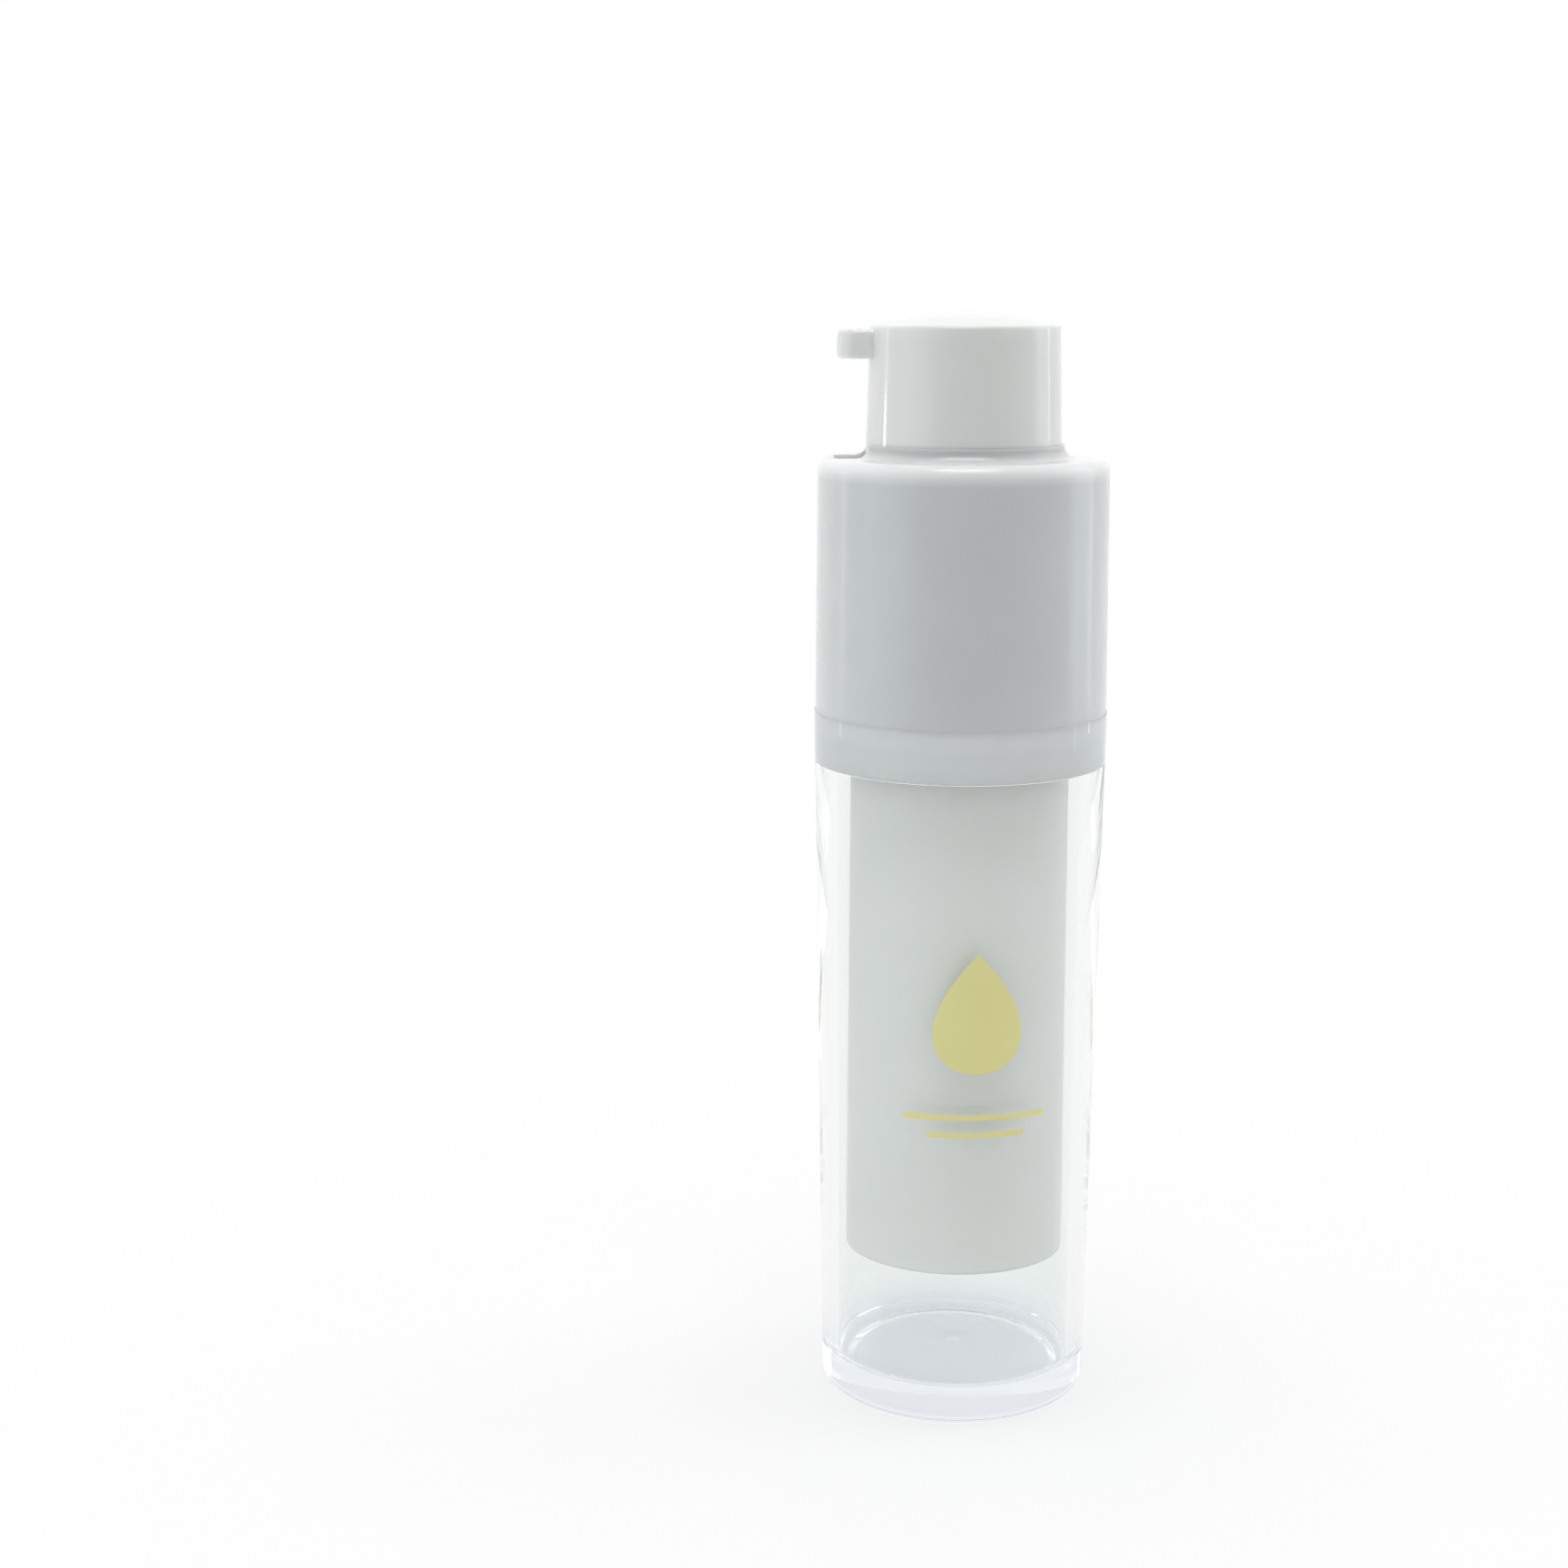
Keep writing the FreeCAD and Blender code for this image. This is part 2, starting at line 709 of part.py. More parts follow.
def make_valve_cage():
    body = new_body("valve_cage")
    disc = new_sketch(body, "disc", "XY_Plane", cage_foot_z)
    add_circle(disc, (0, 0), size.chamber_radius - size.press_fit)
    push(body, "Pad", disc, size.cage_thickness)
    port = new_sketch(body, "port", "XY_Plane", cage_foot_z)
    add_circle(port, (size.cage_port_circle, 0), size.cage_port_radius)
    cut = push(body, "Pocket", port, size.cage_thickness, reversed_way=True)
    pattern_round(body, cut, size.cage_port_count)


def make_inlet_ball():
    ball = doc.addObject("Part::Sphere", "inlet_ball")
    ball.Label = "inlet_ball"
    ball.setExpression("Radius", size.ball_radius.text)
    ball.setExpression("Placement.Base.z", ball_z.text)
    parts.append(ball)


def make_stem_guide():
    body = new_body("stem_guide")
    plug_radius = size.chamber_radius - size.press_fit
    flange_radius = size.chamber_radius + size.stem_guide_overlap - size.press_fit
    guide_bore_radius = size.stem_radius + size.stem_guide_gap
    turn(body, "plug", [
        (guide_bore_radius, guide_end_z),
        (plug_radius, guide_end_z),
        (plug_radius, pump_top_z - size.stem_guide_flange),
        (flange_radius, pump_top_z - size.stem_guide_flange),
        (flange_radius, pump_top_z),
        (guide_bore_radius, pump_top_z),
    ])


def make_pump_stem():
    body = new_body("pump_stem")
    foot_radius = size.stem_radius - size.stem_step
    step_z = piston_top_z + size.piston_lag + size.piston_fit
    turn(body, "tube", [
        (size.stem_bore, stem_foot_z),
        (foot_radius, stem_foot_z),
        (foot_radius, step_z),
        (size.stem_radius, step_z),
        (size.stem_radius, socket_top_z),
        (size.stem_bore, socket_top_z),
    ])
    half_port = size.stem_port_width / 2
    port = new_sketch(body, "port", "XZ_Plane")
    add_outline(port, [
        (-half_port, stem_foot_z),
        (half_port, stem_foot_z),
        (half_port, stem_foot_z + size.piston_lag),
        (-half_port, stem_foot_z + size.piston_lag),
    ])
    push(body, "Pocket", port, size.stem_radius * 2, symmetric=True)


def make_stem_plug():
    body = new_body("stem_plug")
    shank_radius = size.stem_bore - size.press_fit
    shank_top_z = stem_foot_z + size.plug_shank_length
    turn(body, "plug", [
        (0, plug_foot_z),
        (size.plug_head_radius, plug_foot_z),
        (size.plug_head_radius, stem_foot_z),
        (shank_radius, stem_foot_z),
        (shank_radius, shank_top_z),
        (0, shank_top_z),
    ])
    half_port = size.stem_port_width / 2
    slot = new_sketch(body, "flow_slot", "XZ_Plane")
    add_outline(slot, [
        (-half_port, stem_foot_z),
        (half_port, stem_foot_z),
        (half_port, shank_top_z),
        (-half_port, shank_top_z),
    ])
    push(body, "Pocket", slot, size.stem_radius * 2, symmetric=True)


def make_pump_piston():
    body = new_body("pump_piston")
    hub_bore = size.stem_radius - size.stem_step + size.piston_fit
    hub_outer = hub_bore + size.piston_hub_wall
    lip_radius = size.chamber_radius - size.piston_fit
    lip_bore_radius = lip_radius - size.piston_lip_wall
    lip_foot_z = piston_foot_z + size.piston_lip_inset
    lip_top_z = piston_top_z - size.piston_lip_inset
    web_foot_z = piston_foot_z + (size.piston_height - size.piston_web) / 2
    web_top_z = web_foot_z + size.piston_web
    turn(body, "seal", [
        (hub_bore, piston_foot_z),
        (hub_outer, piston_foot_z),
        (hub_outer, web_foot_z),
        (lip_bore_radius, web_foot_z),
        (lip_bore_radius, lip_foot_z),
        (lip_radius, lip_foot_z),
        (lip_radius, lip_top_z),
        (lip_bore_radius, lip_top_z),
        (lip_bore_radius, web_top_z),
        (hub_outer, web_top_z),
        (hub_outer, piston_top_z),
        (hub_bore, piston_top_z),
    ])


def make_actuator_shell():
    body = new_body("actuator_shell")
    rim_radius = head_radius - size.head_taper
    turn(body, "block", [
        (0, head_foot_z),
        (head_radius, head_foot_z),
        (rim_radius, head_rim_z),
        (0, head_rim_z + size.head_dome),
    ], dome=2)
    round_edges(body, "rim_edge", size.head_round, ring_at(rim_radius, head_rim_z))
    half_width = size.spout_width / 2
    spout = new_sketch(body, "spout", "XY_Plane", spout_foot_z)
    add_outline(spout, [
        (-spout_reach, -half_width),
        (0, -half_width),
        (0, half_width),
        (-spout_reach, half_width),
    ])
    push(body, "Pad", spout, size.spout_height)
    beyond = -number(rim_radius) - number(size.head_round)

    def tip_corner(edge):
        ends = [vertex.Point for vertex in edge.Vertexes]
        return len(ends) == 2 and all(end.x < beyond for end in ends) and abs(ends[0].z - ends[1].z) > 1

    round_edges(body, "spout_tip", size.spout_tip_round, tip_corner)
    levels = (number(spout_top_z), number(spout_foot_z))

    def spout_rim(edge):
        box = edge.BoundBox
        at_level = min(abs(box.ZMin - level) for level in levels) < 1e-6
        return at_level and box.ZLength < 1e-6 and box.XMin < beyond

    round_edges(body, "spout_rim", size.spout_edge_round, spout_rim)
    turn(body, "hollow", [
        (0, head_foot_z),
        (head_radius - size.head_wall, head_foot_z),
        (head_radius_at(head_roof_z) - size.head_wall, head_roof_z),
        (0, head_roof_z),
    ], kind="Groove")
    bore = new_sketch(body, "nozzle_bore", "YZ_Plane")
    add_circle(bore, (0, nozzle_z), size.nozzle_radius + size.press_fit)
    push(body, "Pocket", bore)


def make_actuator_core():
    body = new_body("actuator_core")
    disc_top_z = head_roof_z - size.hub_disc_drop
    disc_radius = head_radius_at(disc_top_z) - size.head_wall - size.press_fit
    seat_radius = size.spring_radius + size.wire_diameter
    socket_radius = size.stem_radius + size.press_fit
    seat_top_z = hub_foot_z + size.spring_seat
    turn(body, "hub", [
        (socket_radius, hub_foot_z),
        (seat_radius, hub_foot_z),
        (seat_radius, seat_top_z),
        (size.hub_radius, seat_top_z),
        (size.hub_radius, disc_top_z - size.hub_disc),
        (disc_radius, disc_top_z - size.hub_disc),
        (disc_radius, disc_top_z),
        (size.hub_radius, disc_top_z),
        (size.hub_radius, head_roof_z - size.hub_gap),
        (0, head_roof_z - size.hub_gap),
        (0, nozzle_z),
        (size.stem_bore, nozzle_z),
        (size.stem_bore, socket_top_z),
        (socket_radius, socket_top_z),
    ])
    bore = new_sketch(body, "nozzle_socket", "YZ_Plane")
    add_circle(bore, (0, nozzle_z), size.nozzle_radius + size.press_fit)
    push(body, "Pocket", bore)


def make_nozzle_insert():
    body = new_body("nozzle_insert")
    tube = new_sketch(body, "tube", "YZ_Plane", -(spout_reach - size.nozzle_inset))
    add_circle(tube, (0, nozzle_z), size.nozzle_radius)
    add_circle(tube, (0, nozzle_z), size.nozzle_bore)
    push(body, "Pad", tube, spout_reach - size.nozzle_inset - size.nozzle_seat)


def arc_between(start, corner, end):
    """An arc from start to end, tangent to the lines from both to the corner."""
    chord_middle = (start + end) * 0.5
    reach = (corner - start).Length
    half_cos = start.distanceToPoint(chord_middle) / reach
    half_tan = math.sqrt(1 - half_cos**2) / half_cos
    crown_drop = reach / half_tan * (1 / half_cos - 1)
    inward = (chord_middle - corner).normalize()
    return Part.Arc(start, corner + inward * crown_drop, end).toShape()


def make_return_spring():
    """One unbroken wire, on two arcs for each quarter turn."""
    radius = number(size.spring_radius)
    wire_radius = number(size.wire_diameter) / 2
    turns = number(size.spring_turns)
    start_z = number(lift_plate_z + size.spring_gap) + wire_radius
    rise = number(spring_length) - 2 * number(size.spring_gap) - 2 * wire_radius
    full_angle = 2 * math.pi * turns

    def point_at(share):
        angle = full_angle * share
        return FreeCAD.Vector(radius * math.cos(angle), radius * math.sin(angle), start_z + rise * share)

    def heading_at(share):
        angle = full_angle * share
        along = FreeCAD.Vector(-radius * math.sin(angle), radius * math.cos(angle), rise / full_angle)
        return along.normalize()

    quarters = int(round(4 * turns))
    arcs = []
    for quarter in range(quarters):
        start, end = point_at(quarter / quarters), point_at((quarter + 1) / quarters)
        out_way, in_way = heading_at(quarter / quarters), heading_at((quarter + 1) / quarters)
        span = end - start
        both = out_way + in_way
        spread = 2 * (1 - out_way.dot(in_way))
        reach = (-span.dot(both) + math.sqrt(span.dot(both)**2 + spread * span.dot(span))) / spread
        first_corner = start + out_way * reach
        second_corner = end - in_way * reach
        middle = (first_corner + second_corner) * 0.5
        arcs.append(arc_between(start, first_corner, middle))
        arcs.append(arc_between(middle, second_corner, end))
    path = Part.Wire(arcs)
    ring = Part.Circle(point_at(0), heading_at(0), wire_radius).toShape()
    tube = path.makePipeShell([Part.Wire([ring])], True, False)
    steps = 24
    points = [point_at(step / (steps * turns)) for step in range(int(steps * turns) + 1)]
    nearest = min(
        first.distanceToPoint(second)
        for index, first in enumerate(points)
        for second in points[index + steps // 2:]
    )
    print(f"return_spring least gap to itself: {nearest - 2 * wire_radius:.2f} mm")
    spring = doc.addObject("Part::Feature", "return_spring")
    spring.Label = "return_spring"
    spring.Shape = tube
    spring.Placement = FreeCAD.Placement()
    parts.append(spring)


make_outer_bottle()
make_cam_sleeve()
make_collar()
make_guide_sleeve()
make_inner_bottle()
make_base_plug()
make_follower_piston()
make_lift_ring()
make_housing_gasket()
make_pump_housing()
make_valve_cage()
make_inlet_ball()
make_stem_guide()
make_pump_stem()
make_stem_plug()
make_pump_piston()
make_actuator_shell()
make_actuator_core()
make_nozzle_insert()
make_return_spring()
doc.recompute()

for item in doc.Objects:
    if "Invalid" in item.State or "Error" in item.State:
        raise RuntimeError(f"{item.Label} failed: {item.State}")
for part in parts:
    if part.Shape.isNull() or not part.Shape.isValid() or len(part.Shape.Solids) != 1:
        raise RuntimeError(f"{part.Label} is not one valid solid")

os.makedirs("parts", exist_ok=True)
for part in parts:
    part.Shape.exportStep(os.path.join("parts", f"{part.Label}.step"))
    box = part.Shape.BoundBox
    print(f"{part.Label}: {part.Shape.Volume:.1f} mm3, z {box.ZMin:.2f} to {box.ZMax:.2f}")
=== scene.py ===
import math

import bmesh
import bpy
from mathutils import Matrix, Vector


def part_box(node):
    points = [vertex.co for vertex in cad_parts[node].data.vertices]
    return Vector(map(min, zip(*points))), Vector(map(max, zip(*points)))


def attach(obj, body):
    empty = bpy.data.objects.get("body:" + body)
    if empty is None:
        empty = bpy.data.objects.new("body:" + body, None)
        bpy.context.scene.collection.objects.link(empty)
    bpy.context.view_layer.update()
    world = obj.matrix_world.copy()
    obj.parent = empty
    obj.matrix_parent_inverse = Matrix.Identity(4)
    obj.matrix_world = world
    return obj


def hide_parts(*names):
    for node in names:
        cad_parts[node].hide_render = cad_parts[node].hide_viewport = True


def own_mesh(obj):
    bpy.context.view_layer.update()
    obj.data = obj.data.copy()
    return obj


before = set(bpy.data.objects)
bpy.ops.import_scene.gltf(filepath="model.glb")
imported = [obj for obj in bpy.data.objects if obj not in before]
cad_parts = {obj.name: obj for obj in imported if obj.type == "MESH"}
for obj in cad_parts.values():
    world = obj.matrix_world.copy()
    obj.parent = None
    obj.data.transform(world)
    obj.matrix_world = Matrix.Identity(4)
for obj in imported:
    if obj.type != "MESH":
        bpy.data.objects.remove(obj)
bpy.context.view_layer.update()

MM = 0.001

# Clear bottle, in millimetres
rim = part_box("outer_bottle")[1]
RIM_RADIUS = round(rim.x / MM, 2)
RIM_HEIGHT = round(rim.z / MM, 2)
BASE_RADIUS = 16.78
BASE_ROUND = 2.0
RECESS_RADIUS = 12.6
RECESS_DEPTH = 0.4
REST_RADIUS = 13.9
FLOOR_HEIGHT = 4.6
FLOOR_RADIUS = 14.8
FLOOR_ROUND = 1.3
GATE_RADIUS = 0.8
GATE_DEPTH = 0.2
LEDGE_HEIGHT = 81.1
LEDGE_RADIUS = 15.4
LIP_BORE = 17.47
LIP_RISE = 0.09

# Collar, in millimetres
COLLAR_FOOT = RIM_HEIGHT + 0.1
COLLAR_TOP = 118.5

# Print on the clear bottle, in millimetres
INK_GAP = 0.004
INK_THICKNESS = 0.02
PRINT_TURN = math.radians(4.5)
DROP_HEIGHT = 53.3
DROP_REACH = 7.5
DROP_SPREAD = 7.1
LINE_HEIGHT = 40.0
LINE_STEP = 2.2
LINE_THICKNESS = 0.7
LINE_HALF_WIDTHS = (9.0, 6.0)

scene = bpy.context.scene
scene.view_settings.view_transform = "Standard"

# Light is reflected many times inside the clear wall
scene.cycles.max_bounces = 128
scene.cycles.glossy_bounces = 128
scene.cycles.transmission_bounces = 128
scene.cycles.sample_clamp_indirect = 2.0


# Materials


class Shader:
    """A node material with one principled shader and helpers to feed it."""

    def __init__(self, name):
        self.material = bpy.data.materials.new(name)
        self.material.use_nodes = True
        self.tree = self.material.node_tree
        self.surface = self.tree.nodes["Principled BSDF"]
        self.output = self.tree.nodes["Material Output"]
        self.place = self.tree.nodes.new("ShaderNodeTexCoord").outputs["Object"]

    def node(self, kind, **settings):
        made = self.tree.nodes.new(kind)
        for key, value in settings.items():
            setattr(made, key, value)
        return made

    def link(self, start, end):
        self.tree.links.new(start, end)

    def set(self, **values):
        for key, value in values.items():
            self.surface.inputs[key.replace("_", " ")].default_value = value

    def noise(self, grain, detail=2.0, stretch=(1, 1, 1)):
        """Noise whose grains are about as many millimetres wide as asked."""
        mapping = self.node("ShaderNodeMapping")
        mapping.inputs["Scale"].default_value = stretch
        self.link(self.place, mapping.inputs["Vector"])
        texture = self.node("ShaderNodeTexNoise")
        texture.inputs["Scale"].default_value = 1 / (grain * MM)
        texture.inputs["Detail"].default_value = detail
        self.link(mapping.outputs["Vector"], texture.inputs["Vector"])
        return texture.outputs["Fac"]

    def between(self, factor, low, high, from_low=0.3, from_high=0.7):
        """A number that goes from low to high with the factor."""
        span = self.node("ShaderNodeMapRange")
        span.inputs["From Min"].default_value = from_low
        span.inputs["From Max"].default_value = from_high
        span.inputs["To Min"].default_value = low
        span.inputs["To Max"].default_value = high
        self.link(factor, span.inputs["Value"])
        return span.outputs["Result"]

    def blend(self, factor, first, second):
        """A colour that goes from the first to the second, each a socket or a plain colour."""
        mixer = self.node("ShaderNodeMix", data_type="RGBA")
        holders = [socket for socket in mixer.inputs if socket.type == "RGBA"]
        for holder, colour in zip(holders, (first, second)):
            if isinstance(colour, tuple):
                holder.default_value = (*colour, 1)
            else:
                self.link(colour, holder)
        self.link(factor, mixer.inputs["Factor"])
        return next(socket for socket in mixer.outputs if socket.type == "RGBA")

    def colour_by_height(self, grain, lowest, *changes):
        """Two shades at the foot, and two others over each change, given as (low, high, shades)."""
        flow = self.between(self.noise(grain), 0, 1)
        parts = self.node("ShaderNodeSeparateXYZ")
        self.link(self.place, parts.inputs["Vector"])
        shade = self.blend(flow, *lowest)
        for low, high, shades in changes:
            rise = self.between(parts.outputs["Z"], 0, 1, low * MM, high * MM)
            shade = self.blend(rise, shade, self.blend(flow, *shades))
        self.link(shade, self.surface.inputs["Base Color"])

    def maths(self, operation, first, second):
        """The result of one operation on two sockets."""
        made = self.node("ShaderNodeMath", operation=operation)
        for holder, value in zip(made.inputs, (first, second)):
            self.link(value, holder)
        return made.outputs["Value"]

    def bump(self, height, depth):
        """Raise the surface by up to so many millimetres."""
        made = self.node("ShaderNodeBump")
        made.inputs["Strength"].default_value = 1.0
        made.inputs["Distance"].default_value = depth * MM
        self.link(height, made.inputs["Height"])
        self.link(made.outputs["Normal"], self.surface.inputs["Normal"])

    def colour(self, first, second, grain, detail=2.0, stretch=(1, 1, 1)):
        factor = self.between(self.noise(grain, detail, stretch), 0, 1)
        self.link(self.blend(factor, first, second), self.surface.inputs["Base Color"])

    def roughness(self, low, high, grain, detail=3.0, stretch=(1, 1, 1)):
        gloss = self.between(self.noise(grain, detail, stretch), low, high)
        self.link(gloss, self.surface.inputs["Roughness"])


def gloss_plastic(name, shades, low, high, soft, depth=1.5, changes=()):
    """Moulded plastic: a shade of flow in the colour, uneven gloss and a trace of orange peel."""
    made = Shader(name)
    made.colour_by_height(9.0, shades, *changes)
    made.roughness(low, high, 2.5)
    made.bump(made.noise(7.0, 1.0), 0.0006)
    made.set(Subsurface_Weight=soft, Subsurface_Radius=(1.0, 1.0, 1.0), Subsurface_Scale=depth * MM)
    return made


collar_side = (0.705, 0.73, 0.735), (0.725, 0.75, 0.755)
# Lighter shades over the collar's top: painted light, brightening the top and the head's foot where they
# lie in shade.
painted_light_collar_top = (0.955, 0.97, 0.98), (0.965, 0.98, 0.99)
# Lighter shades at the top of the skirt under the collar's foot: painted light over the shade cast by the
# collar's overhang.
painted_light_skirt_top = (0.86, 0.88, 0.885), (0.88, 0.90, 0.905)
# Height bands of the collar: painted light at the skirt's top and at the collar's top, with the side's own
# shades between.
collar_changes = (
    (COLLAR_FOOT - 3.1, COLLAR_FOOT - 0.3, painted_light_skirt_top),
    (COLLAR_FOOT - 0.1, COLLAR_FOOT, collar_side),
    (COLLAR_TOP - 2.5, COLLAR_TOP - 0.7, painted_light_collar_top),
)
white_collar = gloss_plastic("white_collar", collar_side, 0.12, 0.20, 0.8, 3.0, collar_changes)
# The head gets a lighter white than the collar's side, though both are one white plastic: painted light on
# the head.
white_gloss = gloss_plastic("white_gloss", ((0.83, 0.845, 0.82), (0.85, 0.865, 0.84)), 0.08, 0.14, 0.4)
natural = gloss_plastic("natural_plastic", ((0.70, 0.71, 0.68), (0.75, 0.76, 0.73)), 0.28, 0.42, 0.3)
soft = gloss_plastic("soft_plastic", ((0.76, 0.77, 0.75), (0.80, 0.81, 0.79)), 0.35, 0.5, 0.2)
rubber = gloss_plastic("seal_rubber", ((0.55, 0.55, 0.53), (0.60, 0.60, 0.58)), 0.5, 0.65, 0.0)
milky = gloss_plastic("milky_plastic", ((0.965, 0.97, 0.88), (0.975, 0.98, 0.895)), 0.3, 0.4, 1.0, 2.0)
ink = gloss_plastic("mark_ink", ((0.96, 0.90, 0.36), (0.98, 0.93, 0.42)), 0.3, 0.4, 0.0)


def clear_acrylic():
    """Clear moulding that lets the lamps through to what it holds."""
    made = Shader("clear_acrylic")
    # The thick base is tinted darker and bluer than the wall: partly the colour of thick acrylic, partly
    # painted shade of the shadowed floor seen through it.
    base = (0.81, 0.835, 0.885), (0.83, 0.855, 0.90)
    wall = (0.91, 0.935, 0.925), (0.925, 0.945, 0.94)
    lip = (0.945, 0.955, 0.945), (0.955, 0.965, 0.955)
    over_base = FLOOR_HEIGHT - 0.6, FLOOR_HEIGHT + 3.4, wall
    over_ledge = LEDGE_HEIGHT - 0.6, LEDGE_HEIGHT + 0.4, lip
    made.colour_by_height(12.0, base, over_base, over_ledge)
    made.set(IOR=1.49, Transmission_Weight=1.0, Roughness=0.0)
    path = made.node("ShaderNodeLightPath")
    open_way = made.node("ShaderNodeBsdfTransparent")
    open_way.inputs["Color"].default_value = (0.99, 0.99, 0.985, 1)
    mixer = made.node("ShaderNodeMixShader")
    made.link(path.outputs["Is Shadow Ray"], mixer.inputs["Fac"])
    made.link(made.surface.outputs["BSDF"], mixer.inputs[1])
    made.link(open_way.outputs["BSDF"], mixer.inputs[2])
    made.link(mixer.outputs["Shader"], made.output.inputs["Surface"])
    return made


def glass_ball():
    made = Shader("glass_ball")
    made.colour((0.93, 0.96, 0.95), (0.97, 0.98, 0.97), 1.5)
    made.roughness(0.02, 0.05, 0.6)
    made.set(IOR=1.5, Transmission_Weight=0.9)
    return made


def spring_steel():
    """Drawn wire: fine marks along the coils."""
    made = Shader("spring_steel")
    made.colour((0.56, 0.56, 0.55), (0.66, 0.66, 0.65), 0.5, 4.0, (1, 1, 4))
    made.roughness(0.18, 0.34, 0.3, 4.0, (1, 1, 5))
    made.set(Metallic=1.0)
    return made


clear = clear_acrylic()
ball = glass_ball()
steel = spring_steel()

FINISHES = {
    "outer_bottle": clear,
    "collar": white_collar,
    "actuator_shell": white_gloss,
    "actuator_core": natural,
    "nozzle_insert": natural,
    "cam_sleeve": natural,
    "guide_sleeve": natural,
    "inner_bottle": milky,
    "base_plug": soft,
    "follower_piston": soft,
    "lift_ring": natural,
    "housing_gasket": rubber,
    "pump_housing": natural,
    "valve_cage": natural,
    "inlet_ball": ball,
    "stem_guide": natural,
    "pump_stem": natural,
    "stem_plug": natural,
    "pump_piston": soft,
    "return_spring": steel,
}

for node_name, finish in FINISHES.items():
    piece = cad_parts[node_name]
    if not piece.material_slots:
        piece.data.materials.append(finish.material)
    for holder in piece.material_slots:
        holder.material = finish.material


# Pieces


def add_piece(name, mesh_maker, finish, body):
    mesh = bpy.data.meshes.new(name)
    mesh_maker.to_mesh(mesh)
    mesh_maker.free()
    piece = bpy.data.objects.new(name, mesh)
    scene.collection.objects.link(piece)
    mesh.materials.append(finish.material)
    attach(piece, body)
    return piece


def rounded_profile(corners, arc_steps):
    """Points along an outline of (radius, height, round) corners, with an arc at each rounded corner."""
    points = []
    for index, (radius, height, rounding) in enumerate(corners):
        here = Vector((radius, height))
        if not rounding:
            points.append(here)
            continue
        before = Vector(corners[index - 1][:2]) - here
        after = Vector(corners[(index + 1) % len(corners)][:2]) - here
        half = before.angle(after) / 2
        reach = rounding / math.tan(half)
        start = here + before.normalized() * reach
        end = here + after.normalized() * reach
        middle = here + (before.normalized() + after.normalized()).normalized() * rounding / math.sin(half)
        sweep = math.pi - 2 * half
        spin = 1 if before.x * after.y - before.y * after.x < 0 else -1
        arm = start - middle
        for step in range(arc_steps + 1):
            turn = spin * sweep * step / arc_steps
            points.append(middle + Vector((
                arm.x * math.cos(turn) - arm.y * math.sin(turn),
                arm.x * math.sin(turn) + arm.y * math.cos(turn),
            )))
        assert (points[-1] - end).length < 1e-3
    return points


def lathe(points, segments):
    """A closed turned mesh; the first and the last point lie on the axis."""
    made = bmesh.new()
    rings = []
    for point in points:
        if point.x < 1e-9:
            rings.append([made.verts.new((0, 0, point.y * MM))])
            continue
        ring = []
        for step in range(segments):
            turn = 2 * math.pi * step / segments
            ring.append(made.verts.new((
                point.x * math.cos(turn) * MM, point.x * math.sin(turn) * MM, point.y * MM
            )))
        rings.append(ring)
    for lower, upper in zip(rings, rings[1:]):
        for step in range(segments):
            after = (step + 1) % segments
            corners = [lower[step % len(lower)], lower[after % len(lower)],
                       upper[after % len(upper)], upper[step % len(upper)]]
            face = made.faces.new(list(dict.fromkeys(corners)))
            face.smooth = True
    return made


def make_outer_bottle():
    """The clear bottle, with its moulded edges rounded, so that light bends evenly."""
    lip_top = RIM_HEIGHT + LIP_RISE
    gate_height = FLOOR_HEIGHT - GATE_DEPTH
    corners = [
        (0.0, RECESS_DEPTH, 0),
        (RECESS_RADIUS, RECESS_DEPTH, 2.0),
        (REST_RADIUS, 0.0, 1.2),
        (BASE_RADIUS, 0.0, BASE_ROUND),
        (RIM_RADIUS, lip_top, 0.05),
        (LIP_BORE, lip_top, 0.05),
        (LIP_BORE, LEDGE_HEIGHT, 0.12),
        (LEDGE_RADIUS, LEDGE_HEIGHT, 0.15),
        (FLOOR_RADIUS, FLOOR_HEIGHT, FLOOR_ROUND),
        (GATE_RADIUS, FLOOR_HEIGHT, 0.1),
        (GATE_RADIUS, gate_height, 0.1),
        (0.0, gate_height, 0),
    ]
    made = lathe(rounded_profile(corners, 10), 256)
    piece = add_piece("clear_bottle", made, clear, "bottle")
    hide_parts("outer_bottle")


def make_return_spring():
    """The return spring, which stands on the cartridge."""
    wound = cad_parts["return_spring"]
    made = bmesh.new()
    made.from_mesh(wound.data)
    made.transform(wound.matrix_world)
    for face in made.faces:
        face.smooth = True
    piece = add_piece("coil_spring", made, steel, "cartridge")
    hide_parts("return_spring")
    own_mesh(piece)


def print_patch(name, rows):
    """A thin layer of ink on the front of the bottle, from rows of (height, half width)."""
    made = bmesh.new()
    columns = 36
    grid = []
    for height, half_width in rows:
        radius = BASE_RADIUS + (RIM_RADIUS - BASE_RADIUS) * height / RIM_HEIGHT + INK_GAP
        line = []
        for column in range(columns + 1):
            turn = PRINT_TURN + (2 * column / columns - 1) * half_width / radius
            line.append(made.verts.new((
                radius * math.sin(turn) * MM, -radius * math.cos(turn) * MM, height * MM
            )))
        grid.append(line)
    for lower, upper in zip(grid, grid[1:]):
        for column in range(columns):
            made.faces.new((lower[column], lower[column + 1], upper[column + 1], upper[column]))
    made.normal_update()
    bmesh.ops.solidify(made, geom=made.faces[:], thickness=-INK_THICKNESS * MM)
    bmesh.ops.recalc_face_normals(made, faces=made.faces[:])
    add_piece(name, made, ink, "bottle")


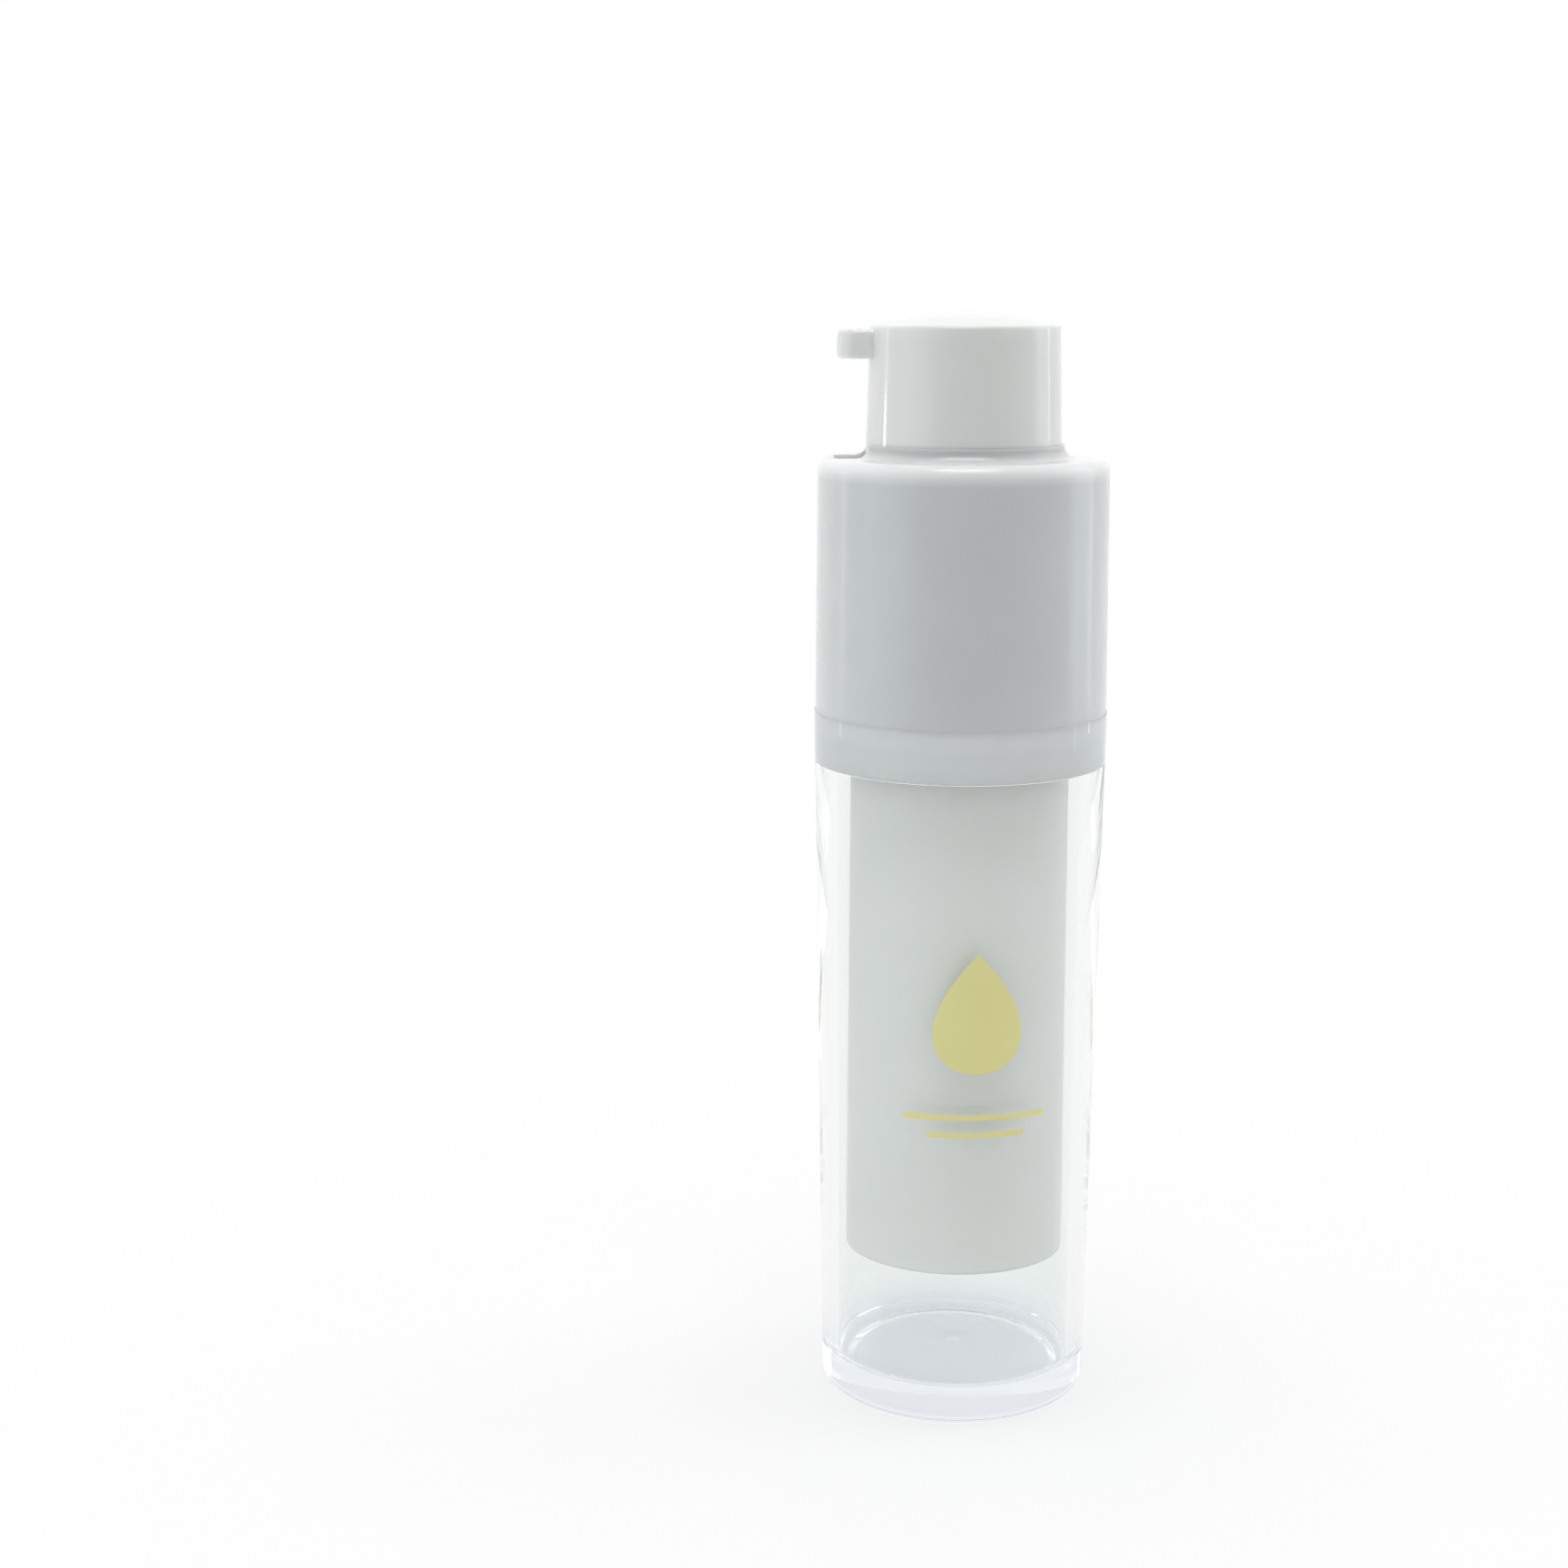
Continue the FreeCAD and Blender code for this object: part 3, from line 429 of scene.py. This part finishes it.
def make_print():
    """A plain drop over two thin lines."""
    steps = 24
    rows = []
    for step in range(1, steps):
        turn = math.pi * (1 - step / steps)
        half_width = DROP_SPREAD * math.sin(turn) * math.sin(turn / 2)
        rows.append((DROP_HEIGHT + DROP_REACH * math.cos(turn), half_width))
    print_patch("printed_drop", rows)
    for count, half_width in enumerate(LINE_HALF_WIDTHS):
        foot = LINE_HEIGHT - LINE_STEP * count
        print_patch(f"printed_line_{count + 1}", [(foot, half_width), (foot + LINE_THICKNESS, half_width)])


make_outer_bottle()
make_return_spring()
make_print()


# Studio

# Rays that see the white background
SEEN_BY = ("Is Camera Ray", "Is Glossy Ray", "Is Transmission Ray")

# How bright the room is for all other rays
ROOM_FRONT = 0.03
ROOM_BACK = 1.0


def stage_floor():
    """White paper that keeps the shadow near the object and fades into the white behind it."""
    paper = bmesh.new()
    bmesh.ops.create_circle(paper, cap_ends=True, segments=96, radius=3.0)
    mesh = bpy.data.meshes.new("floor")
    paper.to_mesh(mesh)
    paper.free()
    floor = bpy.data.objects.new("floor", mesh)
    scene.collection.objects.link(floor)
    made = Shader("floor_paper")
    made.colour((0.90, 0.90, 0.90), (0.92, 0.92, 0.92), 40.0)
    made.set(Roughness=0.9, Specular_IOR_Level=0.1)
    far = made.node("ShaderNodeVectorMath", operation="LENGTH")
    made.link(made.place, far.inputs[0])
    path = made.node("ShaderNodeLightPath")
    seen = path.outputs[SEEN_BY[0]]
    for kind in SEEN_BY[1:]:
        seen = made.maths("MAXIMUM", seen, path.outputs[kind])
    fade = made.between(far.outputs["Value"], 0.6, 1.0, 0.02, 0.15)
    share = made.maths("MULTIPLY", seen, fade)
    glow = made.node("ShaderNodeEmission")
    mixer = made.node("ShaderNodeMixShader")
    made.link(share, mixer.inputs["Fac"])
    made.link(made.surface.outputs["BSDF"], mixer.inputs[1])
    made.link(glow.outputs["Emission"], mixer.inputs[2])
    made.link(mixer.outputs["Shader"], made.output.inputs["Surface"])
    mesh.materials.append(made.material)


def studio_world():
    """A room that is bright behind the object and dim in front, and is seen as plain white."""
    world = bpy.data.worlds.new("studio")
    scene.world = world
    world.use_nodes = True
    tree = world.node_tree
    nodes, links = tree.nodes, tree.links
    place = nodes.new("ShaderNodeTexCoord")
    parts = nodes.new("ShaderNodeSeparateXYZ")
    links.new(place.outputs["Generated"], parts.inputs["Vector"])
    depth = nodes.new("ShaderNodeMapRange")
    depth.interpolation_type = "SMOOTHSTEP"
    depth.inputs["From Min"].default_value = -0.75
    depth.inputs["From Max"].default_value = 0.25
    depth.inputs["To Min"].default_value = ROOM_FRONT
    depth.inputs["To Max"].default_value = ROOM_BACK
    links.new(parts.outputs["Y"], depth.inputs["Value"])
    room = nodes.new("ShaderNodeBackground")
    room.inputs["Color"].default_value = (1.0, 1.0, 0.985, 1)
    links.new(depth.outputs["Result"], room.inputs["Strength"])
    plain = nodes["Background"]
    plain.inputs["Color"].default_value = (1, 1, 1, 1)
    path = nodes.new("ShaderNodeLightPath")
    shown = room.outputs["Background"]
    for kind in SEEN_BY:
        mixer = nodes.new("ShaderNodeMixShader")
        links.new(path.outputs[kind], mixer.inputs["Fac"])
        links.new(shown, mixer.inputs[1])
        links.new(plain.outputs["Background"], mixer.inputs[2])
        shown = mixer.outputs["Shader"]
    links.new(shown, nodes["World Output"].inputs["Surface"])


def soft_box(name, place, aim, width, height, brightness, tint=(1, 1, 1)):
    """A lamp panel whose face is so many times as bright as white paper."""
    lamp = bpy.data.lights.new(name, "AREA")
    lamp.shape = "RECTANGLE"
    lamp.size = width
    lamp.size_y = height
    lamp.energy = brightness * math.pi * width * height
    lamp.color = tint
    holder = bpy.data.objects.new(name, lamp)
    scene.collection.objects.link(holder)
    holder.location = place
    holder.rotation_euler = (Vector(aim) - Vector(place)).to_track_quat("-Z", "Y").to_euler()
    return holder


stage_floor()
studio_world()
soft_box("left_strip", (-0.50, 0.18, 0.22), (0, 0, 0.08), 0.04, 0.6, 1.2)
head_spark = soft_box("head_spark", (-0.48, 0.17, 0.10), (0, 0, 0.12), 0.03, 0.04, 9.0)
lit_head = bpy.data.collections.new("lit_head")
lit_head.objects.link(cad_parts["actuator_shell"])
head_spark.light_linking.receiver_collection = lit_head
soft_box("right_strip", (0.48, 0.22, 0.22), (0, 0, 0.08), 0.02, 0.6, 2.5)
soft_box("side_strip", (0.50, 0.045, 0.22), (0, 0, 0.08), 0.015, 0.6, 2.0)
soft_box("left_window", (-0.55, -0.26, 0.25), (0, 0, 0.08), 0.5, 0.6, 0.65, (0.78, 0.90, 1.0))
soft_box("right_window", (0.55, 0.10, 0.25), (0, 0, 0.08), 0.3, 0.6, 0.8, (0.75, 0.88, 1.0))
soft_box("top_box", (0.0, -0.14, 0.74), (0, 0, 0.08), 0.35, 0.35, 4.6)


# Camera


lens = bpy.data.cameras.new("photo_camera")
lens.lens = 58.33
lens.sensor_width = 36.0
camera = bpy.data.objects.new("photo_camera", lens)
scene.collection.objects.link(camera)
camera.location = (-0.0218, -0.31035, 0.1385)
camera.rotation_euler = (math.radians(90 - 11.03), 0, 0)
scene.camera = camera
